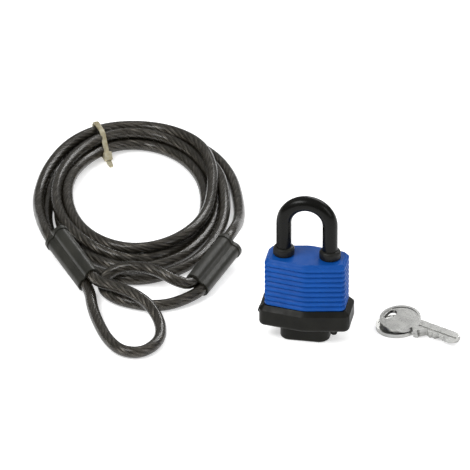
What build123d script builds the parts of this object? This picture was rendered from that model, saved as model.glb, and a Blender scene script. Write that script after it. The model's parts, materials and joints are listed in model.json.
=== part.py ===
from build123d import *
import math
import os

# Cable lock: a weather-covered padlock, its two keys, and a looped steel cable coiled and tied.
# Units are millimetres. The origin is under the middle of the padlock, on the surface it stands on.
# X runs across the padlock, Y from its front to its back, Z up.

# ---------- driving dimensions ----------
BODY_WIDTH = 44.6          # ribbed cover, over the ribs
BODY_DEPTH = 26.0          # ribbed cover, at the middle of its bowed faces
SIDE_DEPTH = 17.6          # ribbed cover, along its flat sides
CAP_HEIGHT = 8.0           # keyway cap under the base cover
BASE_HEIGHT = 12.0         # black base cover
COVER_HEIGHT = 28.5        # blue ribbed cover
SHACKLE_HEIGHT = 85.2      # top of the shackle above the surface
LEG_SPACING = 25.5         # between the shackle's leg axes
ROD_RADIUS = 3.5           # steel of the shackle
COATING = 0.7              # plastic sleeve round the exposed shackle
SHACKLE_TRAVEL = 17.0      # how far the shackle rises when it is unlocked
CABLE_DIAMETER = 6.4       # cable over its plastic jacket
CORE_RADIUS = 2.2          # bare steel strands
FERRULE_LENGTH = 42.0
KEY_LENGTH = 48.2
LAY_TURN = 10.0            # degrees the coil and the keys are turned about the padlock

BASE_BOTTOM = CAP_HEIGHT
COVER_BOTTOM = BASE_BOTTOM + BASE_HEIGHT
COVER_TOP = COVER_BOTTOM + COVER_HEIGHT
LEG_X = LEG_SPACING / 2
CABLE_RADIUS = CABLE_DIAMETER / 2

WALL = 2.0                 # thickness of the moulded covers
STACK_BOTTOM = BASE_BOTTOM + WALL
STACK_TOP = COVER_TOP - WALL
PLATE = 2.0                # pitch of the laminations
PLATE_GAP = 0.1

os.makedirs("parts", exist_ok=True)


def save(shape, name):
    export_step(shape, f"parts/{name}.step")


def joined(solids):
    """One solid from solids that touch or overlap."""
    solids = list(solids)
    return solids[0].fuse(*solids[1:]).clean()


def upright(radius, bottom, top, x=0.0, y=0.0):
    """A vertical cylinder between two heights."""
    height = top - bottom
    return Pos(x, y, bottom + height / 2) * Cylinder(radius, height)


def block(x_range, y_range, z_range):
    """A box between two limits on each axis."""
    size = [high - low for low, high in (x_range, y_range, z_range)]
    middle = [(high + low) / 2 for low, high in (x_range, y_range, z_range)]
    return Pos(*middle) * Box(*size)


def bowed_plan(width, depth, side, corner=3.0, bow=14.0):
    """The body's plan: flat sides, and a front and a back that bow out to the middle."""
    half_width, half_depth, half_side = width / 2, depth / 2, side / 2
    outline = Polyline(
        (half_width, -half_side), (half_width, half_side), (0, half_depth),
        (-half_width, half_side), (-half_width, -half_side), (0, -half_depth), close=True)
    face = make_face(outline)
    corners = face.vertices().filter_by(lambda v: abs(v.X) > 1)
    face = fillet(corners, corner)
    noses = face.vertices().filter_by(lambda v: abs(v.X) < 0.01)
    return fillet(noses, bow)


def inset_plan(inset, corner=3.0):
    """The ribbed cover's plan, moved in by the same distance all round."""
    return bowed_plan(BODY_WIDTH - 2 * inset, BODY_DEPTH - 2.05 * inset, SIDE_DEPTH - 1.65 * inset, corner)


def prism(plan, bottom, top):
    return Pos(0, 0, bottom) * extrude(plan, amount=top - bottom)


# ---------- lock mechanism ----------
HOUSING_Y = -2.5           # the cylinder's axis, in front of the middle
HOUSING_RADIUS = 6.5
PLUG_RADIUS = 4.5
PLUG_TOP = 36.0
HOUSING_BOTTOM = STACK_BOTTOM + 3.0
RAIL_HALF = 2.6            # half width of the pin chamber block
RAIL_BACK = 7.8
PIN_RADIUS = 1.2
PIN_HEIGHTS = [16.0 + 4.0 * i for i in range(4)]
SHEAR_GAP = 0.15
BOLT_BOTTOM = 41.0
BOLT_HEIGHT = 3.0
BOLT_BITE = 1.2            # how far a bolt reaches into its leg
BOLT_TRAVEL = 6.0
BOLT_LENGTH = 4.0
BOLT_WIDTH = 4.0
RUNNING = 0.05             # radial clearance of a running fit
TOE_END = 37.0             # bottom of the short leg
HEEL_END = 24.0            # bottom of the long leg
STACK_INSET = 2.2


def lamination(bottom, thickness, cuts):
    plate = prism(inset_plan(STACK_INSET, 2.4), bottom, bottom + thickness)
    for x in (-18, 18):
        for y in (-4.2, 4.2):
            plate -= upright(1.45, bottom - 1, bottom + thickness + 1, x, y)
    for cut in cuts:
        plate -= cut
    return plate


def cylinder_cut():
    """Room for the lock cylinder, its chamber block and the cam above it."""
    room = upright(HOUSING_RADIUS + 0.1, HOUSING_BOTTOM, BOLT_BOTTOM - 0.5, 0, HOUSING_Y)
    rail = block((-RAIL_HALF - 0.1, RAIL_HALF + 0.1), (HOUSING_Y, RAIL_BACK + 0.1),
                 (HOUSING_BOTTOM, PLUG_TOP))
    return joined([room, rail])


def bolt_channel():
    """The slot in which the two bolts slide, from leg to leg."""
    half = BOLT_WIDTH / 2 + 0.1
    return block((-LEG_X, LEG_X), (-half, half), (BOLT_BOTTOM - 0.1, BOLT_BOTTOM + BOLT_HEIGHT + 0.1))


def make_stack():
    heel_hole = upright(ROD_RADIUS + 0.2, STACK_BOTTOM + 3, STACK_TOP + 1, -LEG_X)
    toe_hole = upright(ROD_RADIUS + 0.2, TOE_END - 1.0, STACK_TOP + 1, LEG_X)
    cuts = [heel_hole, toe_hole, cylinder_cut(), bolt_channel()]
    plug_hole = upright(PLUG_RADIUS + RUNNING, STACK_BOTTOM - 1, STACK_BOTTOM + 4, 0, HOUSING_Y)
    save(lamination(STACK_BOTTOM, 3.0 - PLATE_GAP, [plug_hole]), "bottom_plate")
    top_thickness = 1.5
    plates = []
    height = STACK_BOTTOM + 3.0
    while height + PLATE <= STACK_TOP - top_thickness + 0.001:
        plates.append(lamination(height, PLATE - PLATE_GAP, cuts))
        height += PLATE
    save(Compound(children=plates), "lamination_plates")
    save(lamination(height, STACK_TOP - height, cuts), "top_plate")


def make_rivets():
    rivets = []
    for x in (-18, 18):
        for y in (-4.2, 4.2):
            rivets.append(upright(1.4, STACK_BOTTOM, STACK_TOP, x, y))
    save(Compound(children=rivets), "body_rivets")


def chamber(radius, near, far, height):
    """A round pin or bore lying along Y, between two distances behind the cylinder's axis."""
    middle = HOUSING_Y + (near + far) / 2
    return Pos(0, middle, height) * Rot(90, 0, 0) * Cylinder(radius, far - near)


def make_cylinder():
    shell = upright(HOUSING_RADIUS, HOUSING_BOTTOM, PLUG_TOP - 0.1, 0, HOUSING_Y)
    rail = block((-RAIL_HALF, RAIL_HALF), (HOUSING_Y, RAIL_BACK), (HOUSING_BOTTOM, PLUG_TOP - 0.1))
    housing = joined([shell, rail])
    housing -= upright(PLUG_RADIUS + RUNNING, HOUSING_BOTTOM - 1, PLUG_TOP + 1, 0, HOUSING_Y)
    for height in PIN_HEIGHTS:
        housing -= chamber(PIN_RADIUS + 0.1, PLUG_RADIUS - 0.5, RAIL_BACK - HOUSING_Y - 1.2, height)
    save(housing, "cylinder_housing")

    plug = upright(PLUG_RADIUS, STACK_BOTTOM + 0.3, PLUG_TOP, 0, HOUSING_Y)
    plug -= block((-1.0, 1.0), (HOUSING_Y - 3.6, HOUSING_Y + 3.2), (STACK_BOTTOM - 1, PLUG_TOP - 4))
    for height in PIN_HEIGHTS:
        plug -= chamber(PIN_RADIUS + RUNNING, 1.0, PLUG_RADIUS + 1, height)
    save(plug, "key_plug")

    key_pins = [chamber(PIN_RADIUS, 1.6, PLUG_RADIUS - 2 * SHEAR_GAP, h) for h in PIN_HEIGHTS]
    save(Compound(children=key_pins), "key_pins")
    driver_pins = [chamber(PIN_RADIUS, PLUG_RADIUS + SHEAR_GAP, PLUG_RADIUS + 2.4, h) for h in PIN_HEIGHTS]
    save(Compound(children=driver_pins), "driver_pins")
    far = RAIL_BACK - HOUSING_Y - 1.2
    pin_springs = []
    for h in PIN_HEIGHTS:
        tube = chamber(PIN_RADIUS - 0.1, PLUG_RADIUS + 2.45, far - 0.05, h)
        pin_springs.append(tube - chamber(PIN_RADIUS - 0.5, PLUG_RADIUS + 2, far + 1, h))
    save(Compound(children=pin_springs), "pin_springs")


def make_cam():
    """The cam on top of the plug, with the two pegs that draw the bolts back."""
    disc = upright(PLUG_RADIUS + 0.6, PLUG_TOP, PLUG_TOP + 2.2, 0, HOUSING_Y)
    pegs = [upright(0.9, PLUG_TOP + 2.2, BOLT_BOTTOM - 0.7, x, HOUSING_Y) for x in (-3.6, 3.6)]
    save(joined([disc, *pegs]), "plug_cam")
    ring = upright(PLUG_RADIUS + 1.7, PLUG_TOP + 0.3, PLUG_TOP + 1.9, 0, HOUSING_Y)
    ring -= upright(PLUG_RADIUS + 0.9, PLUG_TOP, PLUG_TOP + 3, 0, HOUSING_Y)
    ring -= block((-1.2, 1.2), (HOUSING_Y - 8, HOUSING_Y - 3), (PLUG_TOP, PLUG_TOP + 3))
    save(ring, "cam_spring")


def make_bolts():
    tip = LEG_X - ROD_RADIUS + BOLT_BITE
    for side, name in ((-1, "left_bolt"), (1, "right_bolt")):
        ends = sorted((side * tip, side * (tip - BOLT_LENGTH)))
        body = block(ends, (-BOLT_WIDTH / 2, BOLT_WIDTH / 2), (BOLT_BOTTOM, BOLT_BOTTOM + BOLT_HEIGHT))
        save(body, name)


# ---------- shackle ----------
ARC_CENTRE_Z = SHACKLE_HEIGHT - ROD_RADIUS - COATING - LEG_X
COATING_BOTTOM = COVER_TOP + 1.6


def shackle_path(left_bottom, right_bottom):
    return Wire([
        Edge.make_line((-LEG_X, 0, left_bottom), (-LEG_X, 0, ARC_CENTRE_Z)),
        Edge.make_three_point_arc(
            (-LEG_X, 0, ARC_CENTRE_Z), (0, 0, ARC_CENTRE_Z + LEG_X), (LEG_X, 0, ARC_CENTRE_Z)),
        Edge.make_line((LEG_X, 0, ARC_CENTRE_Z), (LEG_X, 0, right_bottom))])


def rod(path, radius):
    start = Plane(origin=path @ 0, z_dir=path % 0)
    return sweep(start * Circle(radius), path=path)


def bolt_notch(side):
    """The notch a bolt enters: flat on top, and below it a ramp that the bolt's edge follows as
    the shackle rises and the bolt draws back at a constant ratio."""
    clear = 0.2
    inner = LEG_X - ROD_RADIUS
    depth = BOLT_BITE + clear
    top = BOLT_BOTTOM + BOLT_HEIGHT + clear
    low = BOLT_BOTTOM - clear
    ramp = depth * SHACKLE_TRAVEL / BOLT_TRAVEL
    outline = Polyline(
        (side * (inner - 1), top), (side * (inner + depth), top), (side * (inner + depth), low),
        (side * inner, low - ramp), (side * (inner - 1), low - ramp), close=True)
    face = Plane.XZ * make_face(outline)
    return extrude(face, amount=BOLT_WIDTH / 2 + clear, both=True)


def make_shackle():
    core = rod(shackle_path(HEEL_END, TOE_END), ROD_RADIUS)
    for side in (-1, 1):
        core -= bolt_notch(side)
    save(core, "shackle_core")
    sleeve_path = shackle_path(COATING_BOTTOM, COATING_BOTTOM)
    sleeve = rod(sleeve_path, ROD_RADIUS + COATING) - rod(sleeve_path, ROD_RADIUS)
    save(sleeve, "shackle_sleeve")

    spring_bottom = STACK_BOTTOM + 3.0
    turns = 5
    pitch = (HEEL_END - spring_bottom) / turns
    wire = 0.55
    coils = [Pos(-LEG_X, 0, spring_bottom + pitch * (i + 0.5)) * Torus(2.6, wire) for i in range(turns)]
    posts = []
    for i in range(turns - 1):
        side = 1 if i % 2 else -1
        low = spring_bottom + pitch * (i + 0.5)
        posts.append(upright(wire * 0.8, low, low + pitch, -LEG_X, side * 2.6))
    save(joined(coils + posts), "shackle_spring")


def make_collars():
    """Rubber seals round the two legs where they enter the cover."""
    for side, name in ((-1, "left_seal"), (1, "right_seal")):
        neck = upright(5.0, COVER_TOP - WALL, COVER_TOP + 0.6, side * LEG_X)
        bulge = upright(5.9, COVER_TOP, COVER_TOP + 5.0, side * LEG_X)
        bulge = fillet(bulge.edges().group_by(Axis.Z)[-1], 1.9)
        bulge = fillet(bulge.edges().group_by(Axis.Z)[0], 0.8)
        collar = joined([neck, bulge])
        collar -= upright(ROD_RADIUS + COATING + RUNNING, COVER_TOP - 3, COVER_TOP + 6, side * LEG_X)
        save(collar, name)


# ---------- covers ----------
RIB_COUNT = 9
RIB_PROUD = 0.9


def make_ribbed_cover():
    shell = prism(inset_plan(RIB_PROUD), COVER_BOTTOM, COVER_TOP)
    shell = chamfer(shell.edges().group_by(Axis.Z)[-1], 0.9)
    pitch = (COVER_HEIGHT - 1.2) / RIB_COUNT
    ribs = []
    for i in range(RIB_COUNT):
        bottom = COVER_BOTTOM + 0.1 + pitch * i
        rib = prism(inset_plan(0), bottom, bottom + pitch - 0.15)
        rib = chamfer(rib.edges().group_by(Axis.Z)[-1], 0.9)
        ribs.append(chamfer(rib.edges().group_by(Axis.Z)[0], 0.75))
    cover = joined([shell, *ribs])
    cover -= prism(inset_plan(STACK_INSET - 0.15, 2.4), COVER_BOTTOM - 1, STACK_TOP)
    for side in (-1, 1):
        cover -= upright(5.05, STACK_TOP - 1, COVER_TOP + 1, side * LEG_X)
    save(cover, "ribbed_cover")


BASE_WIDTH = BODY_WIDTH + 5.6
BASE_DEPTH = BODY_DEPTH + 4.0
HINGE_X = 16.1
HINGE_Z = 5.6
KNUCKLE_RADIUS = 1.9
KNUCKLE_HALF = 3.2
PIN_R = 0.8


def make_base_cover():
    outer = prism(bowed_plan(BASE_WIDTH, BASE_DEPTH, SIDE_DEPTH + 4.0, 4.0), BASE_BOTTOM, COVER_BOTTOM)
    outer = chamfer(outer.edges().group_by(Axis.Z)[-1], 2.4)
    outer = fillet(outer.edges().group_by(Axis.Z)[0], 2.2)
    lug = Pos(-BASE_WIDTH / 2, 0, BASE_BOTTOM + 4.6) * Rot(90, 0, 0) * Cylinder(1.7, 4.0)
    ears = []
    for low, high in ((-6.6, -KNUCKLE_HALF - 0.3), (KNUCKLE_HALF + 0.3, 6.6)):
        ear = block((HINGE_X - 2.0, HINGE_X + 2.0), (low, high), (HINGE_Z, BASE_BOTTOM + 0.5))
        eye = Pos(HINGE_X, (low + high) / 2, HINGE_Z) * Rot(90, 0, 0) * Cylinder(2.0, high - low)
        ears += [ear, eye]
    base = joined([outer, lug, *ears])
    base -= prism(inset_plan(STACK_INSET - 0.15, 2.4), STACK_BOTTOM, COVER_BOTTOM + 1)
    hollow = bowed_plan(BASE_WIDTH - 4.4, BASE_DEPTH - 4.2, SIDE_DEPTH + 0.6, 3.0)
    base -= prism(hollow, STACK_BOTTOM, COVER_BOTTOM - 3.2)
    base -= upright(6.2, BASE_BOTTOM - 1, STACK_BOTTOM + 1, 0, HOUSING_Y)
    base -= Pos(HINGE_X, 0, HINGE_Z) * Rot(90, 0, 0) * Cylinder(PIN_R, 20)
    save(base, "base_cover")
    pin = Pos(HINGE_X, 0, HINGE_Z) * Rot(90, 0, 0) * Cylinder(PIN_R, 13.2)
    save(pin, "cap_hinge_pin")


def make_keyway_cap():
    plan = Rectangle(27.5, 21.0)
    plan = fillet(plan.vertices(), 6.0)
    cap = prism(plan, 0, CAP_HEIGHT - 0.3)
    cap = fillet(cap.edges().group_by(Axis.Z)[0], 1.2)
    cap -= prism(fillet(Rectangle(23.9, 17.4).vertices(), 4.4), 1.8, CAP_HEIGHT)
    knuckle = Pos(HINGE_X, 0, HINGE_Z) * Rot(90, 0, 0) * Cylinder(KNUCKLE_RADIUS, 2 * KNUCKLE_HALF)
    arm = block((12.9, HINGE_X), (-KNUCKLE_HALF, KNUCKLE_HALF), (HINGE_Z - 1.4, HINGE_Z + 1.4))
    cap = joined([cap, knuckle, arm])
    cap -= Pos(HINGE_X, 0, HINGE_Z) * Rot(90, 0, 0) * Cylinder(PIN_R + RUNNING, 20)
    save(cap, "keyway_cap")


# ---------- keys ----------
HEAD_RADIUS = 11.3
KEY_THICKNESS = 2.2
BLADE_HALF = 4.1
HEAD_HOLE = (-6.2, 8.6, 4.6)      # along the key, long and short size of the slot


def key_blank():
    """One key lying flat with its head centred on the origin and its blade along +X."""
    tip = KEY_LENGTH - HEAD_RADIUS
    head = Cylinder(HEAD_RADIUS, KEY_THICKNESS)
    stop = block((12.2, 14.9), (-6.0, 0.0), (-KEY_THICKNESS / 2, KEY_THICKNESS / 2))
    blade = block((8.0, tip), (-BLADE_HALF, BLADE_HALF), (-KEY_THICKNESS / 2, KEY_THICKNESS / 2))
    nose = blade.edges().filter_by(Axis.Z).group_by(Axis.X)[-1]
    blade = fillet(nose, 3.0)
    key = joined([head, stop, blade])
    dish = Pos(0, 0, KEY_THICKNESS / 2 - 0.35) * Cylinder(HEAD_RADIUS - 1.4, 1.0, align=(
        Align.CENTER, Align.CENTER, Align.MIN))
    key -= dish
    hole_x, hole_long, hole_short = HEAD_HOLE
    key -= Pos(hole_x, 0, 0) * extrude(SlotOverall(hole_long, hole_short, rotation=90), amount=3, both=True)
    groove = block((13.0, tip + 1), (-1.3, -0.3), (KEY_THICKNESS / 2 - 0.6, KEY_THICKNESS))
    key -= groove
    for position, depth in zip((18.4, 22.2, 26.0, 29.8), (2.5, 1.5, 2.2, 1.1)):
        notch = Polyline(
            (position - 0.5 - depth, -BLADE_HALF - 0.01), (position - 0.5, -BLADE_HALF + depth),
            (position + 0.5, -BLADE_HALF + depth), (position + 0.5 + depth, -BLADE_HALF - 0.01),
            close=True)
        key -= extrude(make_face(notch), amount=3, both=True)
    return key


def laid(shape):
    """Things that lie beside the padlock, turned about it together."""
    return Rot(0, 0, LAY_TURN) * shape


KEY_POINTING = -34.5       # degrees the blades turn to the front, from the lay's X
KEY_SPREAD = -13.0         # extra turn of the lower key
LOWER_KEY = (49.1, 4.5, KEY_THICKNESS / 2)
UPPER_KEY = (51.3, 5.7, 4.9)
UPPER_TIP_DOWN = 0.7       # degrees the upper key leans along its blade
UPPER_ROLL = 7.0           # degrees it leans to its cut edge


def make_keys():
    lower = Pos(*LOWER_KEY) * Rot(0, 0, KEY_POINTING - KEY_SPREAD) * key_blank()
    save(laid(lower), "lower_key")
    upper = Pos(*UPPER_KEY) * Rot(0, 0, KEY_POINTING) * Rot(UPPER_ROLL, UPPER_TIP_DOWN, 0) * key_blank()
    save(laid(upper), "upper_key")


# ---------- cable: ferrules ----------
LOBE = 6.5                 # between the two cables in a ferrule
FERRULE_RADIUS = 4.3
JACKET_DEPTH = 10.0        # how far the jacketed cable goes into a ferrule
STRAIGHT_EXIT = 9.0        # from a ferrule's back to the lead's first corner
LEFT_EXIT = 6.0            # from a ferrule's front to the eye's first corner
RIGHT_EXIT = 4.0
LEFT_FRONT = Vector(-119.8, 43.0, 8.0)
LEFT_BACK_AIM = Vector(-139.4, 83.0, 14.2)
RIGHT_FRONT = Vector(-60.0, 39.0, 7.0)
RIGHT_BACK_AIM = Vector(-43.0, 75.0, 10.6)
LEFT_ROLL = -55.0          # degrees the pair of lobes leans, outer lobe down
RIGHT_ROLL = 40.0


def ferrule_plane(front, aim, roll):
    """A plane at the ferrule's front face: Z runs back through the ferrule, X from lobe to lobe."""
    back = (aim - front).normalized()
    across = Vector(0, 0, 1).cross(back).normalized()
    across = across.rotate(Axis((0, 0, 0), back), roll)
    return Plane(origin=front, x_dir=across, z_dir=back)


LEFT_PLANE = ferrule_plane(LEFT_FRONT, LEFT_BACK_AIM, LEFT_ROLL)
RIGHT_PLANE = ferrule_plane(RIGHT_FRONT, RIGHT_BACK_AIM, RIGHT_ROLL)


def twin(radius, web, bottom, top):
    """Two round lobes side by side along X, with a web between, from bottom to top along Z."""
    lobes = [upright(radius, bottom, top, side * LOBE / 2) for side in (-1, 1)]
    bridge = block((-LOBE / 2, LOBE / 2), (-web, web), (bottom, top))
    return joined([*lobes, bridge])


def make_ferrule(plane, name, dead_side):
    """The plastic cover, the crimped sleeve in it, and the bare strands in the sleeve. dead_side
    is the lobe in which the cable ends."""
    cover = twin(FERRULE_RADIUS, 3.5, 0, FERRULE_LENGTH)
    rim = twin(FERRULE_RADIUS + 0.5, 4.0, FERRULE_LENGTH - 2.4, FERRULE_LENGTH)
    cover = joined([cover, rim])
    inside = twin(CABLE_RADIUS + 0.06, 2.5, -1, FERRULE_LENGTH + 1)
    plug = upright(CABLE_RADIUS + 0.5, FERRULE_LENGTH - 1.6, FERRULE_LENGTH, dead_side * LOBE / 2)
    plug -= upright(1.7, FERRULE_LENGTH - 3, FERRULE_LENGTH + 1, dead_side * LOBE / 2)
    cover = joined([cover - inside, plug])
    cover -= upright(CABLE_RADIUS + 0.06, FERRULE_LENGTH - 3, FERRULE_LENGTH + 1, -dead_side * LOBE / 2)
    save(laid(plane.location * cover), f"{name}_ferrule_cover")
    low, high = JACKET_DEPTH, FERRULE_LENGTH - JACKET_DEPTH
    sleeve = twin(CABLE_RADIUS, 2.4, low, high)
    cores = [upright(CORE_RADIUS, low, high, side * LOBE / 2) for side in (-1, 1)]
    for core in cores:
        sleeve -= core
    save(laid(plane.location * sleeve), f"{name}_crimp_sleeve")
    save(laid(plane.location * Compound(children=cores)), f"{name}_cable_core")


def in_ferrule(plane, side, depth):
    """A point on a lobe's axis, so far behind the ferrule's front face."""
    return plane.from_local_coords(Vector(side * LOBE / 2, 0, depth))


# ---------- cable: free stretches ----------
LEFT_EYE = [
    (-104.0, 31.0, 10.4), (-94.0, 23.6, 10.2), (-85.5, 14.2, 8.7), (-80.0, 3.0, 4.2),
    (-79.6, -10.5, 3.2), (-83.8, -21.0, 3.2), (-91.5, -28.0, 3.2), (-101.5, -25.5, 3.2),
    (-108.5, -14.0, 3.2), (-113.5, 2.0, 3.2), (-117.6, 20.5, 3.4),
]
RIGHT_EYE = [
    (-72.5, 34.9, 12.4), (-81.0, 41.2, 14.6), (-91.0, 47.4, 13.8), (-101.0, 51.0, 11.8),
    (-110.2, 49.4, 7.8), (-112.8, 41.2, 4.2), (-106.5, 32.0, 3.2), (-96.5, 26.0, 3.2),
    (-85.0, 22.5, 3.2), (-73.0, 25.0, 3.2),
]
LEFT_LEAD = [(-148.5, 118.0, 7.2), (-148.0, 147.0, 3.4), (-143.0, 174.0, 5.4), (-132.0, 196.0, 8.2)]
RIGHT_LEAD = [(-36.5, 112.0, 6.2), (-38.0, 143.0, 3.3), (-44.5, 172.0, 3.3), (-59.0, 198.0, 3.3)]


def free_tube(points, name):
    """A jacketed stretch: straight runs joined by arcs as large as the runs allow."""
    points = [Vector(p) for p in points]
    radii = []
    for before, corner, after in zip(points, points[1:], points[2:]):
        inward, outward = corner - before, after - corner
        half_turn = math.radians(inward.get_angle(outward)) / 2
        radii.append(0.45 * min(inward.length, outward.length) / math.tan(half_turn))
    path = FilletPolyline(*points, radius=radii)
    start = Plane(origin=points[0], z_dir=points[1] - points[0])
    tube = sweep(start * Circle(CABLE_RADIUS), path=path)
    expected = math.pi * CABLE_RADIUS ** 2 * path.length
    print(f"{name}: length {path.length:.1f}, radii {[round(r, 1) for r in radii]}, "
          f"volume {tube.volume:.0f} against {expected:.0f}")
    save(laid(tube), name)
    return path.length


def make_free_stretches():
    for plane, eye, name, first, leave in (
            (LEFT_PLANE, LEFT_EYE, "left_eye", -1, LEFT_EXIT),
            (RIGHT_PLANE, RIGHT_EYE, "right_eye", 1, RIGHT_EXIT)):
        start = [in_ferrule(plane, first, JACKET_DEPTH), in_ferrule(plane, first, -leave)]
        end = [in_ferrule(plane, -first, -leave), in_ferrule(plane, -first, JACKET_DEPTH)]
        free_tube(start + eye + end, name)
    for plane, lead, name, side in (
            (LEFT_PLANE, LEFT_LEAD, "left_lead", 1), (RIGHT_PLANE, RIGHT_LEAD, "right_lead", 1)):
        start = [in_ferrule(plane, side, FERRULE_LENGTH - JACKET_DEPTH),
                 in_ferrule(plane, side, FERRULE_LENGTH + STRAIGHT_EXIT)]
        free_tube(start + lead, name)


# ---------- cable: the tied coil ----------
COIL_X, COIL_Y = -94.0, 141.2        # middle of the innermost strand's oval
OVAL_X, OVAL_Y = 38.8, 61.7          # its half width and half depth
LAYER = 12.8                         # height of two strands
TIE_ANGLE = 60.5                     # place of the tie, from the coil's left towards its back
TIE_SKEW = -23.5                     # degrees the tie is turned from square across the cable
TIE_WIDTH = 3.0
TIE_STRAP = 1.1


def oval(x, y, half_x, half_y, bottom, top):
    return Pos(x, y, bottom) * extrude(Ellipse(half_x, half_y), amount=top - bottom)


def tie_location():
    angle = math.radians(TIE_ANGLE)
    x = COIL_X - OVAL_X * math.cos(angle)
    y = COIL_Y + OVAL_Y * math.sin(angle)
    outward = math.degrees(math.atan2(math.sin(angle) / OVAL_Y, -math.cos(angle) / OVAL_X))
    return Pos(x, y, 0) * Rot(0, 0, outward + TIE_SKEW)


def tie_loop(grow=0.0):
    """The strap round the bundle, in its own axes: X outwards, Y along the cable."""
    outer = block((-6.4 - grow, 19.2 + grow), (-TIE_WIDTH / 2, TIE_WIDTH / 2), (0, 15.4 + grow))
    outer = fillet(outer.edges().filter_by(Axis.Y), 3.4)
    inner = block((-6.4 + TIE_STRAP, 19.2 - TIE_STRAP), (-3, 3), (TIE_STRAP, 15.4 - TIE_STRAP))
    return outer - fillet(inner.edges().filter_by(Axis.Y), 2.4)


def make_tie():
    head = block((-9.6, -5.4), (-2.3, 2.3), (0.6, 5.2))
    tail = Pos(-12.0, 0, 1.6) * Rot(0, -8, 0) * Box(6.0, TIE_WIDTH - 0.4, TIE_STRAP)
    tie = joined([tie_loop(), fillet(head.edges(), 0.5), tail])
    save(laid(tie_location() * tie), "cable_tie")


def make_coil():
    """The outer shape of the wound turns: one layer all round, and a second where they are tied."""
    inner = oval(COIL_X, COIL_Y, OVAL_X - 3, OVAL_Y - 3, -1, 20)
    lower = oval(-93.0, 138.4, 52.4, 81.2, 0, CABLE_DIAMETER)
    upper = oval(-93.0, 143.0, 50.6, 76.0, CABLE_DIAMETER - 1, LAYER + 0.6)
    upper -= block((-200, 0), (0, 112), (0, 30))
    front = oval(-90.0, 100.0, 36.0, 54.0, 0, CABLE_DIAMETER)
    coil = joined([lower, front, upper]) - inner
    coil -= tie_location() * tie_loop(0.4)
    save(laid(coil), "cable_coil")


make_stack()
make_rivets()
make_cylinder()
make_cam()
make_bolts()
make_shackle()
make_collars()
make_ribbed_cover()
make_base_cover()
make_keyway_cap()
make_keys()
make_ferrule(LEFT_PLANE, "left", -1)
make_ferrule(RIGHT_PLANE, "right", -1)
make_free_stretches()
make_coil()
make_tie()
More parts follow.
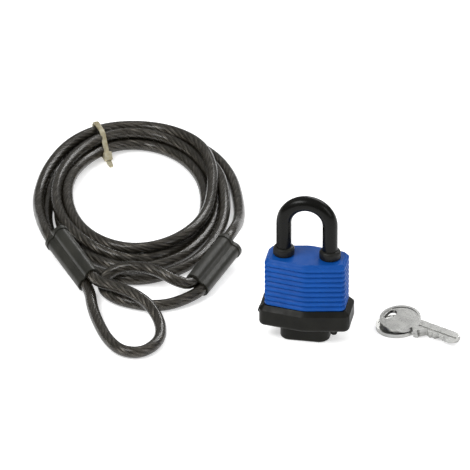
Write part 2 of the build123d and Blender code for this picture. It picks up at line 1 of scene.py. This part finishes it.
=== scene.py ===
import bpy
import json
import math
from mathutils import Matrix, Vector
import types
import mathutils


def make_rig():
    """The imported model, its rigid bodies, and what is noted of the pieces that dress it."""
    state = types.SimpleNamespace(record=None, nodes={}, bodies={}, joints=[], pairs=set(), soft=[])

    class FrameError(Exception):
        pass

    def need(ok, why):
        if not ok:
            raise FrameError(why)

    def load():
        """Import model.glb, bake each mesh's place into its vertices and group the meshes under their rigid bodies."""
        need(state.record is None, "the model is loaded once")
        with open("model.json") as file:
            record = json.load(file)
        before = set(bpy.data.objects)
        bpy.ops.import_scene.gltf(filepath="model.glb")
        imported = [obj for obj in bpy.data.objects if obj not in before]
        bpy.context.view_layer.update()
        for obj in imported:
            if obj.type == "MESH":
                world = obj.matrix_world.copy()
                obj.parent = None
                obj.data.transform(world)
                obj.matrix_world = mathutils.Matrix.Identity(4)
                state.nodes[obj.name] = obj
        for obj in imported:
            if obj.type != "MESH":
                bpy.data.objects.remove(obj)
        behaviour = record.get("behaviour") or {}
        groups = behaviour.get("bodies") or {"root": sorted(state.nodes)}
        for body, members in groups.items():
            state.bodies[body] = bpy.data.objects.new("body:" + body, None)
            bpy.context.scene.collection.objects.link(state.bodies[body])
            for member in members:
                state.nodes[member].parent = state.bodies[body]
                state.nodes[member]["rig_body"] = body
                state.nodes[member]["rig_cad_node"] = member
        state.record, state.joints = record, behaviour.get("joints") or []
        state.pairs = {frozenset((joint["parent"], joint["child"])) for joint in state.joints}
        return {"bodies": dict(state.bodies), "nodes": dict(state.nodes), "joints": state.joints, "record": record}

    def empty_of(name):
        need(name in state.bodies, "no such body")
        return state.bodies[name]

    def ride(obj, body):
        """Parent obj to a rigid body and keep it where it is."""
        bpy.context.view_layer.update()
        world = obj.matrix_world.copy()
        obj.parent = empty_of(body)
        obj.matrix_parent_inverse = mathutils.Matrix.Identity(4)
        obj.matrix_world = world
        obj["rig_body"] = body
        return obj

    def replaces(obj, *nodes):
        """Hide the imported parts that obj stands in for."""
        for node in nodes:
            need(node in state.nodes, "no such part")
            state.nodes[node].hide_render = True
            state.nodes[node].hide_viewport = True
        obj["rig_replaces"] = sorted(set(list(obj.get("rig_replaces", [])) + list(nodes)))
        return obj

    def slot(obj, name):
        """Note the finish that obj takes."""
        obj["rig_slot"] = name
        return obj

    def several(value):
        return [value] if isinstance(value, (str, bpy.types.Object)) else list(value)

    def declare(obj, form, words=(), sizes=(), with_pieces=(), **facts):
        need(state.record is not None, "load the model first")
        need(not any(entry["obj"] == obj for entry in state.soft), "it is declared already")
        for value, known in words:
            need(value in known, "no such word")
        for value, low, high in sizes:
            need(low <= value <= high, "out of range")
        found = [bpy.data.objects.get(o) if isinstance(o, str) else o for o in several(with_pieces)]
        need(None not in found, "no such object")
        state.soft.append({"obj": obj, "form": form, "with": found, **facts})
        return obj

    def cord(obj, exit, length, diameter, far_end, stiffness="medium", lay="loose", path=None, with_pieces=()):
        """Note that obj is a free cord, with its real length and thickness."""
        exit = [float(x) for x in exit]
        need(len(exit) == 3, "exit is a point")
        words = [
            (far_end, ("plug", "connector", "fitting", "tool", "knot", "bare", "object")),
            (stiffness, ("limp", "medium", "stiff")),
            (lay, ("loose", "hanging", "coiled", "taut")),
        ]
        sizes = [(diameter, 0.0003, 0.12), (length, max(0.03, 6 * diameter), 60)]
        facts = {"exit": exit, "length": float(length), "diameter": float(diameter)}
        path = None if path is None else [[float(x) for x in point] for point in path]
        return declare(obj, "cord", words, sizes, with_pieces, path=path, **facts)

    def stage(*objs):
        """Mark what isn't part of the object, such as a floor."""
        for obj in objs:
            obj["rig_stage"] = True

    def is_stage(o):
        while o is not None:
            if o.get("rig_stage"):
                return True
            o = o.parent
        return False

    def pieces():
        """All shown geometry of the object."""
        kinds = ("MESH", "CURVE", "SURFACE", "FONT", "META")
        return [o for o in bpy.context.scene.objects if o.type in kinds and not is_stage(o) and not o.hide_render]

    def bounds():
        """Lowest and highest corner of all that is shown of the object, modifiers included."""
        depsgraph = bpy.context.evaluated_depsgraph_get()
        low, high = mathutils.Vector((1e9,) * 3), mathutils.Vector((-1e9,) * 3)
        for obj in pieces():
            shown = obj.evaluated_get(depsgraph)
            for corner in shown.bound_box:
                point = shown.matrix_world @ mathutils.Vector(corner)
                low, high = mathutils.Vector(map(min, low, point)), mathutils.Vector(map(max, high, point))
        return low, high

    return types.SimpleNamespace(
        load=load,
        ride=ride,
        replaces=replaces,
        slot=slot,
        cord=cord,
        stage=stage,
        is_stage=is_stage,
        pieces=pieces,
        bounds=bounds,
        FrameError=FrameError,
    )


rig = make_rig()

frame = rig.load()
cad_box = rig.bounds()

# Cable lock: padlock, two keys, and a looped steel cable coiled and tied. Metres, in the CAD frame:
# X across the padlock, Y from its front to its back, Z up from the surface that everything lies on.

MM = 0.001
LAY_TURN = math.radians(10)      # the coil and the keys are turned about the padlock


def lay(x, y, z):
    """A point given in millimetres in the lay's axes, as a point of the frame."""
    return Matrix.Rotation(LAY_TURN, 3, "Z") @ Vector((x * MM, y * MM, z * MM))


# ---------- camera, light and floor ----------
PIXELS_PER_MM = 1.8
PICTURE = 470
LOOK_AT = lay(-39.2, 100.0, 3.6)
ELEVATION = math.radians(30)
FOCAL = 800.0                    # a long lens, because the photo has next to no perspective
SENSOR = 36.0
LIT_POINT = Vector((-0.04, 0.06, 0.02))      # what the lights are aimed at


def make_camera():
    data = bpy.data.cameras.new("camera")
    data.sensor_width = SENSOR
    data.lens = FOCAL
    camera = bpy.data.objects.new("camera", data)
    bpy.context.scene.collection.objects.link(camera)
    width = PICTURE / PIXELS_PER_MM * MM
    distance = width * FOCAL / SENSOR
    back = Vector((math.sin(LAY_TURN), -math.cos(LAY_TURN), 0)) * math.cos(ELEVATION)
    back += Vector((0, 0, math.sin(ELEVATION)))
    camera.location = LOOK_AT + back * distance
    camera.rotation_euler = back.to_track_quat("Z", "Y").to_euler()
    data.clip_end = 100
    bpy.context.scene.camera = camera


def area_light(name, place, size, power, colour=(1, 1, 1)):
    data = bpy.data.lights.new(name, "AREA")
    data.shape = "RECTANGLE"
    data.size, data.size_y = size
    data.energy = power
    data.color = colour
    light = bpy.data.objects.new(name, data)
    light.location = place
    light.rotation_euler = (Vector(place) - LIT_POINT).to_track_quat("Z", "Y").to_euler()
    bpy.context.scene.collection.objects.link(light)


def make_studio():
    world = bpy.data.worlds.new("studio")
    world.use_nodes = True
    nodes, links = world.node_tree.nodes, world.node_tree.links
    place = nodes.new("ShaderNodeTexCoord")
    split = nodes.new("ShaderNodeSeparateXYZ")
    links.new(place.outputs["Generated"], split.inputs["Vector"])
    sky = nodes.new("ShaderNodeValToRGB")
    sky.color_ramp.elements[0].color = (0.16, 0.16, 0.16, 1)
    sky.color_ramp.elements[1].color = (0.62, 0.62, 0.62, 1)
    links.new(split.outputs["Z"], sky.inputs["Fac"])
    links.new(sky.outputs["Color"], nodes["Background"].inputs["Color"])
    bpy.context.scene.world = world
    bpy.context.scene.view_settings.view_transform = "Standard"
    area_light("key_light", (-0.45, -0.40, 0.75), (0.5, 0.35), 4.5)
    area_light("back_light", (0.22, 0.77, 0.59), (0.7, 0.25), 3.5)
    area_light("side_light", (0.75, -0.25, 0.45), (0.3, 0.5), 1.5)
    bpy.ops.mesh.primitive_plane_add(size=6, location=(0, 0, -0.0002))
    floor = bpy.context.object
    floor.name = "floor"
    floor.data.materials.append(paper_white())
    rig.stage(floor)


# ---------- materials ----------
def new_material(name, **values):
    material = bpy.data.materials.new(name)
    material.use_nodes = True
    shader = material.node_tree.nodes["Principled BSDF"]
    for key, value in values.items():
        socket = shader.inputs[key.replace("_", " ")]
        socket.default_value = (*value, 1) if isinstance(value, tuple) else value
    return material


def add(material, kind, **values):
    node = material.node_tree.nodes.new(kind)
    for key, value in values.items():
        setattr(node, key, value)
    return node


def link(material, out, into):
    material.node_tree.links.new(out, into)


def shader_of(material):
    return material.node_tree.nodes["Principled BSDF"]


def noise(material, scale, detail=3.0, stretch=(1, 1, 1)):
    """Noise in the frame's own coordinates, scale in cells per metre."""
    place = add(material, "ShaderNodeTexCoord")
    spread = add(material, "ShaderNodeMapping")
    spread.inputs["Scale"].default_value = stretch
    link(material, place.outputs["Object"], spread.inputs["Vector"])
    texture = add(material, "ShaderNodeTexNoise")
    texture.inputs["Scale"].default_value = scale
    texture.inputs["Detail"].default_value = detail
    link(material, spread.outputs["Vector"], texture.inputs["Vector"])
    return texture.outputs["Fac"]


def ramp(material, source, low, high, at=(0.35, 0.65)):
    """The source's values turned to a range of greys or colours."""
    node = add(material, "ShaderNodeValToRGB")
    for element, position, value in zip(node.color_ramp.elements, at, (low, high)):
        element.position = position
        element.color = (*value, 1) if isinstance(value, tuple) else (value, value, value, 1)
    link(material, source, node.inputs["Fac"])
    return node.outputs["Color"]


def bumped(material, source, strength, distance):
    bump = add(material, "ShaderNodeBump")
    bump.inputs["Strength"].default_value = strength
    bump.inputs["Distance"].default_value = distance
    link(material, source, bump.inputs["Height"])
    link(material, bump.outputs["Normal"], shader_of(material).inputs["Normal"])


def paper_white():
    material = new_material("floor_white", Base_Color=(0.95, 0.95, 0.95), Roughness=0.9,
                            Emission_Color=(1.0, 1.0, 1.0), Emission_Strength=0.5)
    link(material, ramp(material, noise(material, 6), 0.94, 0.96), shader_of(material).inputs["Base Color"])
    return material


def moulded(name, dark, light, roughness, shine=0.5, grain=2600, depth=0.00003, patch=90):
    """Satin moulded plastic or rubber: a faint grain, and a slow change of tone and gloss."""
    material = new_material(
        name, Base_Color=light, Roughness=sum(roughness) / 2, Specular_IOR_Level=shine)
    shader = shader_of(material)
    link(material, ramp(material, noise(material, patch), dark, light), shader.inputs["Base Color"])
    gloss = ramp(material, noise(material, 260, 4), roughness[0], roughness[1])
    link(material, gloss, shader.inputs["Roughness"])
    bumped(material, noise(material, grain, 2), 0.35, depth)
    return material


def metal(name, dark, light, roughness, stretch=(1, 1, 1), scale=900, depth=0.00002):
    material = new_material(name, Base_Color=light, Metallic=1.0, Roughness=sum(roughness) / 2)
    shader = shader_of(material)
    link(material, ramp(material, noise(material, scale / 4), dark, light), shader.inputs["Base Color"])
    marks = noise(material, scale, 4, stretch)
    link(material, ramp(material, marks, roughness[0], roughness[1]), shader.inputs["Roughness"])
    bumped(material, marks, 0.3, depth)
    return material


def cable_jacket():
    """Smoked vinyl that shows the strands through it, and is darker where it is seen edge on."""
    material = new_material("cable_jacket", Base_Color=(0.014, 0.012, 0.008), Roughness=0.22, Alpha=0.62)
    shader = shader_of(material)
    link(material, ramp(material, noise(material, 420, 3), 0.17, 0.28), shader.inputs["Roughness"])
    edge = add(material, "ShaderNodeLayerWeight")
    link(material, ramp(material, edge.outputs["Facing"], 0.52, 0.96, (0.15, 0.8)), shader.inputs["Alpha"])
    bumped(material, noise(material, 700, 2), 0.25, 0.00006)
    return material


WIRE_LAY = 0.011           # length of one turn of a wire round its strand
WIRES = 6                  # outer wires of a strand


def wire_strands():
    """Twisted strands of fine galvanised wires. U runs along a strand in metres, V round it."""
    material = new_material("wire_strands", Base_Color=(0.26, 0.24, 0.205), Metallic=0.9, Roughness=0.42)
    uv = add(material, "ShaderNodeUVMap")
    split = add(material, "ShaderNodeSeparateXYZ")
    link(material, uv.outputs["UV"], split.inputs["Vector"])
    along = add(material, "ShaderNodeMath", operation="MULTIPLY")
    along.inputs[1].default_value = 2 * math.pi / WIRE_LAY
    link(material, split.outputs["X"], along.inputs[0])
    round_it = add(material, "ShaderNodeMath", operation="MULTIPLY_ADD")
    round_it.inputs[1].default_value = 2 * math.pi * WIRES
    link(material, split.outputs["Y"], round_it.inputs[0])
    link(material, along.outputs["Value"], round_it.inputs[2])
    wave = add(material, "ShaderNodeMath", operation="SINE")
    link(material, round_it.outputs["Value"], wave.inputs[0])
    bumped(material, wave.outputs["Value"], 0.6, 0.00008)
    patches = ramp(material, noise(material, 150, 3), (0.19, 0.172, 0.142), (0.38, 0.35, 0.305))
    link(material, patches, shader_of(material).inputs["Base Color"])
    return material


def tie_nylon():
    material = new_material(
        "tie_nylon", Base_Color=(0.40, 0.37, 0.28), Roughness=0.42, Subsurface_Weight=0.35,
        Subsurface_Scale=0.0015)
    shader_of(material).inputs["Subsurface Radius"].default_value = (1.0, 0.8, 0.5)
    tint = ramp(material, noise(material, 300, 3), (0.31, 0.27, 0.165), (0.46, 0.43, 0.31))
    link(material, tint, shader_of(material).inputs["Base Color"])
    bumped(material, noise(material, 1800, 2), 0.2, 0.00003)
    return material


def dress(material, *nodes):
    """The material on a CAD node's own object."""
    for node in nodes:
        slots = bpy.data.objects[node].material_slots
        for entry in slots:
            entry.material = material


# ---------- meshes from rings ----------
def skin(name, tubes, material):
    """One mesh of one or more tubes with closed ends. Each tube is a list of (distance, ring of
    points); its UVs are the distance in metres and the share of the way round."""
    verts = []
    faces = []
    uvs = []
    for rings in tubes:
        first = len(verts)
        count = len(rings[0][1])
        for _, points in rings:
            verts.extend(points)
        for i in range(len(rings) - 1):
            start, stop = rings[i][0], rings[i + 1][0]
            here = first + i * count
            there = here + count
            for k in range(count):
                n = (k + 1) % count
                faces.append((here + k, here + n, there + n, there + k))
                low, high = k / count, (k + 1) / count
                uvs.extend([(start, low), (start, high), (stop, high), (stop, low)])
        for i, order in ((0, -1), (len(rings) - 1, 1)):
            cap = [first + i * count + k for k in range(count)][::order]
            faces.append(cap)
            uvs.extend([(rings[i][0], 0.5)] * count)
    mesh = bpy.data.meshes.new(name)
    mesh.from_pydata([tuple(v) for v in verts], [], faces)
    layer = mesh.uv_layers.new(name="UVMap")
    layer.data.foreach_set("uv", [c for uv in uvs for c in uv])
    mesh.materials.append(material)
    mesh.update()
    for polygon in mesh.polygons:
        polygon.use_smooth = True
    piece = bpy.data.objects.new(name, mesh)
    bpy.context.scene.collection.objects.link(piece)
    return piece


def frames_along(points):
    """(distance, point, side, up) along a line, with side and up carried without twist."""
    frames = []
    distance = 0.0
    side = None
    for i, point in enumerate(points):
        ahead = points[min(i + 1, len(points) - 1)]
        behind = points[max(i - 1, 0)]
        tangent = (ahead - behind).normalized()
        if side is None:
            side = tangent.cross(Vector((0, 0, 1))).normalized()
        else:
            distance += (point - points[i - 1]).length
            side = (side - tangent * side.dot(tangent)).normalized()
        frames.append((distance, point, side, tangent.cross(side)))
    return frames


# ---------- cable ----------
CABLE_DIAMETER = 6.4 * MM
CABLE_LENGTH = 2.25
FERRULE_LENGTH = 42.0
JACKET_DEPTH = 10.0        # how far the jacketed cable goes into a ferrule, mm
LOBE = 6.5                 # between the two cables in a ferrule, mm
# A ferrule's front, a point that it aims at, both in mm, and its roll in degrees.
LEFT_FERRULE = ((-119.8, 43.0, 8.0), (-139.4, 83.0, 14.2), -55.0)
RIGHT_FERRULE = ((-60.0, 39.0, 7.0), (-43.0, 75.0, 10.6), 40.0)
# The eyes' corners, in the order in which the cable passes them, mm.
LEFT_EYE = [
    (-104.0, 31.0, 10.4), (-94.0, 23.6, 10.2), (-85.5, 14.2, 8.7), (-80.0, 3.0, 4.2),
    (-79.6, -10.5, 3.2), (-83.8, -21.0, 3.2), (-91.5, -28.0, 3.2), (-101.5, -25.5, 3.2),
    (-108.5, -14.0, 3.2), (-113.5, 2.0, 3.2), (-117.6, 20.5, 3.4),
]
RIGHT_EYE = [
    (-72.5, 34.9, 12.4), (-81.0, 41.2, 14.6), (-91.0, 47.4, 13.8), (-101.0, 51.0, 11.8),
    (-110.2, 49.4, 7.8), (-112.8, 41.2, 4.2), (-106.5, 32.0, 3.2), (-96.5, 26.0, 3.2),
    (-85.0, 22.5, 3.2), (-73.0, 25.0, 3.2),
]
LEFT_EXIT = 6.0            # from a ferrule's front to the eye's first corner, mm
RIGHT_EXIT = 4.0
DEAD_END = (39, 20, 5)      # depths of the route's points in the lobe where the cable ends, mm
THROUGH = (5, 21, 40, 51)   # and in the lobe through which it runs on to the coil
LEFT_LEAD = (-148.5, 118.0, 7.2)         # between a ferrule and the coil, mm
RIGHT_LEAD = (-36.5, 112.0, 6.2)

COIL_MIDDLE = (-94.0, 141.2)
COIL_HALF = (38.8, 61.7)      # half width and half depth of the innermost strand's oval, mm
TIE_ANGLE = 60.5               # place of the tie, from the coil's left towards its back
TIE_SKEW = -23.5               # degrees the tie is turned from square across the cable
TIE_LIFT = 1.2                 # the tie's strap passes under the strands, mm
TIE_REACH = 50                 # degrees on either side of the tie over which they come down again
# How far out of that oval, and how high, the cable runs at each eighth of a turn, from the coil's
# left side towards its back, mm. Four and a half turns.
STATIONS = [
    (16.6, 5.6), (13.2, 9.6), (9.8, 9.6), (9.8, 10.9), (3.6, 9.2), (4.6, 9.6), (2.6, 7.6), (2.2, 8.0),
    (0.6, 8.8), (0.0, 4.4), (0.2, 3.2), (0.0, 3.2), (0.2, 3.2), (2.6, 3.2), (8.0, 3.2), (9.0, 9.4),
    (7.0, 9.2), (3.9, 9.6), (3.3, 9.0), (5.2, 6.6), (6.6, 3.2), (9.4, 3.2), (18.0, 3.2), (11.2, 3.2),
    (3.9, 3.2), (6.4, 3.2), (6.7, 3.2), (10.6, 3.2), (10.2, 8.4), (17.5, 3.6), (31.5, 3.2), (20.0, 3.2),
    (10.4, 3.2), (12.8, 3.2), (13.2, 3.2), (16.4, 3.2), (17.8, 3.2),
]
STATIONS_PER_TURN = 8
POINTS_PER_TURN = 16


def ease(t):
    return t * t * (3 - 2 * t)


def ferrule_axes(front, aim, roll):
    """A function that gives a point on either lobe's axis, so far behind the ferrule's front."""
    front, aim = Vector(front), Vector(aim)
    back = (aim - front).normalized()
    across = Vector((0, 0, 1)).cross(back).normalized()
    across.rotate(Matrix.Rotation(math.radians(roll), 3, back))

    def at(side, depth):
        return lay(*(front + across * (side * LOBE / 2) + back * depth))
    return at


def oval_point(turn):
    """A point of the innermost strand's oval and the direction out of it, in the lay's axes."""
    angle = 2 * math.pi * turn
    x = COIL_MIDDLE[0] - COIL_HALF[0] * math.cos(angle)
    y = COIL_MIDDLE[1] + COIL_HALF[1] * math.sin(angle)
    out = Vector((-math.cos(angle) / COIL_HALF[0], math.sin(angle) / COIL_HALF[1])).normalized()
    return x, y, out


def coil_points():
    """The coil's turns: between stations the offset and the height change smoothly."""
    points = []
    per_station = POINTS_PER_TURN // STATIONS_PER_TURN
    for i in range((len(STATIONS) - 1) * per_station + 1):
        at = i / per_station
        k = min(int(at), len(STATIONS) - 2)
        share = ease(at - k)
        offset, height = (a + (b - a) * share for a, b in zip(STATIONS[k], STATIONS[k + 1]))
        turn = i / POINTS_PER_TURN
        from_tie = abs((turn * 360 - TIE_ANGLE + 180) % 360 - 180)
        height += TIE_LIFT * ease(max(0.0, 1 - from_tie / TIE_REACH))
        x, y, out = oval_point(turn)
        points.append(lay(x + out.x * offset, y + out.y * offset, height))
    return points


def cable_route():
    left = ferrule_axes(*LEFT_FERRULE)
    right = ferrule_axes(*RIGHT_FERRULE)
    route = [left(-1, depth) for depth in (*DEAD_END, -LEFT_EXIT)]
    route += [lay(*p) for p in LEFT_EYE]
    route += [left(1, depth) for depth in (-LEFT_EXIT, *THROUGH)]
    route.append(lay(*LEFT_LEAD))
    route += coil_points()
    route.append(lay(*RIGHT_LEAD))
    route += [right(1, depth) for depth in (*reversed(THROUGH), -RIGHT_EXIT)]
    route += [lay(*p) for p in RIGHT_EYE]
    route += [right(-1, depth) for depth in (-RIGHT_EXIT, *reversed(DEAD_END))]
    return route


def smooth_line(route):
    """Points close together on the route's NURBS spline."""
    curve = bpy.data.curves.new("cable_line", "CURVE")
    curve.dimensions = "3D"
    spline = curve.splines.new("NURBS")
    spline.points.add(len(route) - 1)
    for point, place in zip(spline.points, route):
        point.co = (*place, 1)
    spline.order_u = 3
    spline.use_endpoint_u = True
    spline.resolution_u = 14
    carrier = bpy.data.objects.new("cable_line", curve)
    mesh = bpy.data.meshes.new_from_object(carrier)
    line = [v.co.copy() for v in mesh.vertices]
    bpy.data.meshes.remove(mesh)
    bpy.data.objects.remove(carrier)
    bpy.data.curves.remove(curve)
    return line


STRANDS = 6
STRAND_LAY = 0.031             # length of one turn of a strand round the cable
STRAND_RADIUS = 1.02 * MM
STRAND_CIRCLE = 1.93 * MM
JACKET_SIDES = 20
STRAND_SIDES = 8
CUT_BACK = 1.03 * MM           # jacket taken off where the cable is crimped
CUT_EASE = 2 * MM              # length over which the jacket thins out
NEAR_AXIS = 3 * MM             # closer than this to a sleeve's axis, the cable is the one in it
SQUEEZE = 0.30                 # how far the strands are pressed together in a sleeve


def ring(centre, side, up, radius, count, turn=0.0):
    points = []
    for k in range(count):
        angle = turn + 2 * math.pi * k / count
        points.append(centre + side * (radius * math.cos(angle)) + up * (radius * math.sin(angle)))
    return points


def stripped(point, sleeves):
    """How far the jacket is cut back at a point: 0 on the free cable, 1 in a crimped sleeve."""
    share = 0.0
    for start, stop in sleeves:
        way = (stop - start).normalized()
        along = (point - start).dot(way)
        inside = min(along, (stop - start).length - along)
        near = (point - start - way * along).length
        if near < NEAR_AXIS and inside > -CUT_EASE:
            share = max(share, ease(min(1.0, (inside + CUT_EASE) / CUT_EASE)))
    return share


def make_cable(jacket, wires):
    line = smooth_line(cable_route())
    sleeves = []
    for ferrule in (LEFT_FERRULE, RIGHT_FERRULE):
        at = ferrule_axes(*ferrule)
        for side in (-1, 1):
            sleeves.append((at(side, JACKET_DEPTH), at(side, FERRULE_LENGTH - JACKET_DEPTH)))
    tube = []
    strands = [[] for _ in range(STRANDS)]
    for distance, point, side, up in frames_along(line):
        cut = stripped(point, sleeves)
        radius = CABLE_DIAMETER / 2 - CUT_BACK * cut
        tube.append((distance, ring(point, side, up, radius, JACKET_SIDES)))
        squeeze = 1 - SQUEEZE * cut
        for k, strand in enumerate(strands):
            angle = 2 * math.pi * (distance / STRAND_LAY + k / STRANDS)
            out = side * math.cos(angle) + up * math.sin(angle)
            centre = point + out * (STRAND_CIRCLE * squeeze)
            strand.append((distance, ring(centre, side, up, STRAND_RADIUS * squeeze, STRAND_SIDES, angle)))
    cable = skin("cable", [tube], jacket)
    core = skin("cable_strands", strands, wires)
    for piece in (cable, core):
        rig.ride(piece, "cable")
    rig.slot(cable, "cable_vinyl")
    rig.slot(core, "cable_strand")
    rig.replaces(cable, "cable_coil", "left_eye", "right_eye", "left_lead", "right_lead")
    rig.replaces(core, "left_cable_core", "right_cable_core")
    return cable, line


# ---------- cable tie ----------
TIE_WIDTH = 2.9
TIE_THICKNESS = 1.1
TIE_BUNDLE = [(13.4, 4.4), (12.8, 10.8), (4.0, 10.7)]      # outer and top strands in the tie's plane, mm
TIE_HEAD = (-6.8, 3.4)                   # middle of the head
STRAP_START = 1.5                        # the strap starts this far out of the head's middle
STRAP_AIM = (3.1, -2.1)                  # where it comes down to, from the head's middle
STRAP_STEP = 0.16                        # angle between the strap's sections where it bends
STRAP_GAP = 0.05                         # between the strap and the cable, mm
TAIL = [(-1.9, -1.6), (-4.6, -2.3), (-7.2, -2.4)]        # the cut end, from the head's middle
TAIL_TAPER = 0.72                        # width of its tip against the strap's
# The head's sections: distance along the strap, half width and half thickness. The last two are
# the mouth of its slot.
HEAD_SECTIONS = [
    (-2.6, 1.9, 1.6), (-2.3, 2.3, 2.0), (2.0, 2.3, 2.0), (2.4, 2.0, 1.7),
    (2.4, 1.55, 0.75), (1.2, 1.5, 0.7),
]
HEAD_LIFT = 0.6                          # the head stands out from the strap's middle, mm
HEAD_ENTRY = 4                           # the strap runs straight so far before the head's middle
ALONG_CABLE = Vector((0, 1, 0))          # across the strap, in the tie's own axes


def tie_place(x, y, z):
    """A point in the tie's own axes, mm: X out of the coil, Y along the cable, Z up."""
    base_x, base_y, out = oval_point(TIE_ANGLE / 360)
    out.rotate(Matrix.Rotation(math.radians(TIE_SKEW), 2))
    return lay(base_x + out.x * x - out.y * y, base_y + out.y * x + out.x * y, z)


def strap_line(radius):
    """The strap's line: from under the head round the bundle and down to the head again."""
    turns = [Vector(p) for p in TIE_BUNDLE]
    head = Vector(TIE_HEAD)
    ways = [Vector((1, 0))] + [b - a for a, b in zip(turns, turns[1:])]
    ways.append(head + Vector(STRAP_AIM) - turns[-1])
    line = [Vector((head.x + STRAP_START, 0, turns[0].y - radius))]
    for centre, before, after in zip(turns, ways, ways[1:]):
        start = math.atan2(-before.x, before.y)
        stop = math.atan2(-after.x, after.y)
        while stop < start:
            stop += 2 * math.pi
        steps = max(2, int((stop - start) / STRAP_STEP))
        for k in range(steps + 1):
            angle = start + (stop - start) * k / steps
            x = centre.x + radius * math.cos(angle)
            z = centre.y + radius * math.sin(angle)
            line.append(Vector((x, 0, z)))
    return line


def strap_ring(point, outward, width, thickness):
    """A flat section across the strap with eased edges."""
    ease_w, ease_t = 0.25, 0.3         # shares of the half width and of the half thickness
    corners = []
    for u, v in ((-1, -1 + ease_t), (-1 + ease_w, -1), (1 - ease_w, -1), (1, -1 + ease_t),
                 (1, 1 - ease_t), (1 - ease_w, 1), (-1 + ease_w, 1), (-1, 1 - ease_t)):
        corners.append(point + ALONG_CABLE * (u * width / 2) + outward * (v * thickness / 2))
    return corners


def make_tie(nylon):
    radius = CABLE_DIAMETER / MM / 2 + TIE_THICKNESS / 2 + STRAP_GAP
    path = strap_line(radius)
    middle = Vector((TIE_HEAD[0], 0, TIE_HEAD[1]))
    tangent = (middle - path[-1]).normalized()
    path += [middle - tangent * HEAD_ENTRY, middle]
    path += [middle + Vector((x, 0, z)) for x, z in TAIL]
    rings = []
    distance = 0.0
    for i, point in enumerate(path):
        ahead = (path[min(i + 1, len(path) - 1)] - path[max(i - 1, 0)]).normalized()
        outward = ahead.cross(-ALONG_CABLE).normalized()
        if i:
            distance += (point - path[i - 1]).length
        width = TIE_WIDTH * (TAIL_TAPER if i == len(path) - 1 else 1.0)
        section = strap_ring(point, outward, width, TIE_THICKNESS)
        rings.append((distance * MM, [tie_place(*p) for p in section]))
    strap = skin("tie_strap", [rings], nylon)
    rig.ride(strap, "cable")
    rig.slot(strap, "tie_nylon")
    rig.replaces(strap, "cable_tie")

    # the head: a thick eased block with a slot through it along the strap
    outward = tangent.cross(-ALONG_CABLE).normalized()
    rings = []
    for along, half_width, half_thickness in HEAD_SECTIONS:
        centre = middle + tangent * along + outward * HEAD_LIFT
        section = strap_ring(centre, outward, 2 * half_width, 2 * half_thickness)
        rings.append((along * MM, [tie_place(*p) for p in section]))
    head = skin("tie_head", [rings], nylon)
    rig.ride(head, "cable")
    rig.slot(head, "tie_nylon")
    return strap, head


# ---------- build ----------
make_camera()
make_studio()

blue = moulded("blue_plastic", (0.003, 0.068, 0.32), (0.004, 0.080, 0.365), (0.40, 0.52), 0.14)
black = moulded("black_plastic", (0.005, 0.005, 0.0035), (0.009, 0.009, 0.0065), (0.32, 0.46), 0.15)
shackle_black = moulded(
    "shackle_sleeve_black", (0.003, 0.003, 0.0022), (0.005, 0.005, 0.004), (0.21, 0.3), 0.15)
rubber = moulded("seal_rubber", (0.007, 0.007, 0.006), (0.012, 0.012, 0.010), (0.42, 0.55), 0.25)
ferrule_grey = moulded("ferrule_plastic", (0.018, 0.018, 0.014), (0.029, 0.0285, 0.023), (0.30, 0.42), 0.3)
nickel = metal(
    "key_nickel", (0.33, 0.33, 0.32), (0.43, 0.43, 0.415), (0.27, 0.30), (1, 5, 1), depth=0.000005)
steel = metal("plate_steel", (0.42, 0.42, 0.43), (0.58, 0.58, 0.58), (0.28, 0.42))
chrome = metal("shackle_steel", (0.6, 0.6, 0.6), (0.72, 0.72, 0.72), (0.12, 0.2))
pin_steel = metal("hinge_pin_steel", (0.03, 0.03, 0.03), (0.06, 0.06, 0.055), (0.35, 0.5))
spring = metal("spring_steel", (0.4, 0.4, 0.4), (0.6, 0.6, 0.6), (0.25, 0.35))
brass = metal("lock_brass", (0.62, 0.42, 0.16), (0.76, 0.56, 0.26), (0.22, 0.36))
aluminium = metal("sleeve_aluminium", (0.6, 0.6, 0.6), (0.72, 0.72, 0.72), (0.3, 0.42))

dress(blue, "ribbed_cover")
dress(black, "base_cover", "keyway_cap")
dress(shackle_black, "shackle_sleeve")
dress(rubber, "left_seal", "right_seal")
dress(ferrule_grey, "left_ferrule_cover", "right_ferrule_cover")
dress(nickel, "lower_key", "upper_key")
dress(steel, "bottom_plate", "lamination_plates", "top_plate", "body_rivets", "plug_cam",
      "left_bolt", "right_bolt")
dress(chrome, "shackle_core")
dress(pin_steel, "cap_hinge_pin")
dress(spring, "pin_springs", "cam_spring", "shackle_spring")
dress(brass, "cylinder_housing", "key_plug", "key_pins", "driver_pins")
dress(aluminium, "left_crimp_sleeve", "right_crimp_sleeve")

cable, line = make_cable(cable_jacket(), wire_strands())
strap, head = make_tie(tie_nylon())
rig.cord(
    cable, exit=line[0], length=CABLE_LENGTH, diameter=CABLE_DIAMETER, far_end="fitting",
    stiffness="stiff", lay="coiled", path=line,
    with_pieces=["cable_strands", "left_ferrule_cover", "right_ferrule_cover", "left_crimp_sleeve",
                 "right_crimp_sleeve", strap, head])

visual_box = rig.bounds()
with open("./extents.json", "w") as out:
    json.dump({"cad": [list(corner) for corner in cad_box],
               "visual": [list(corner) for corner in visual_box]}, out)
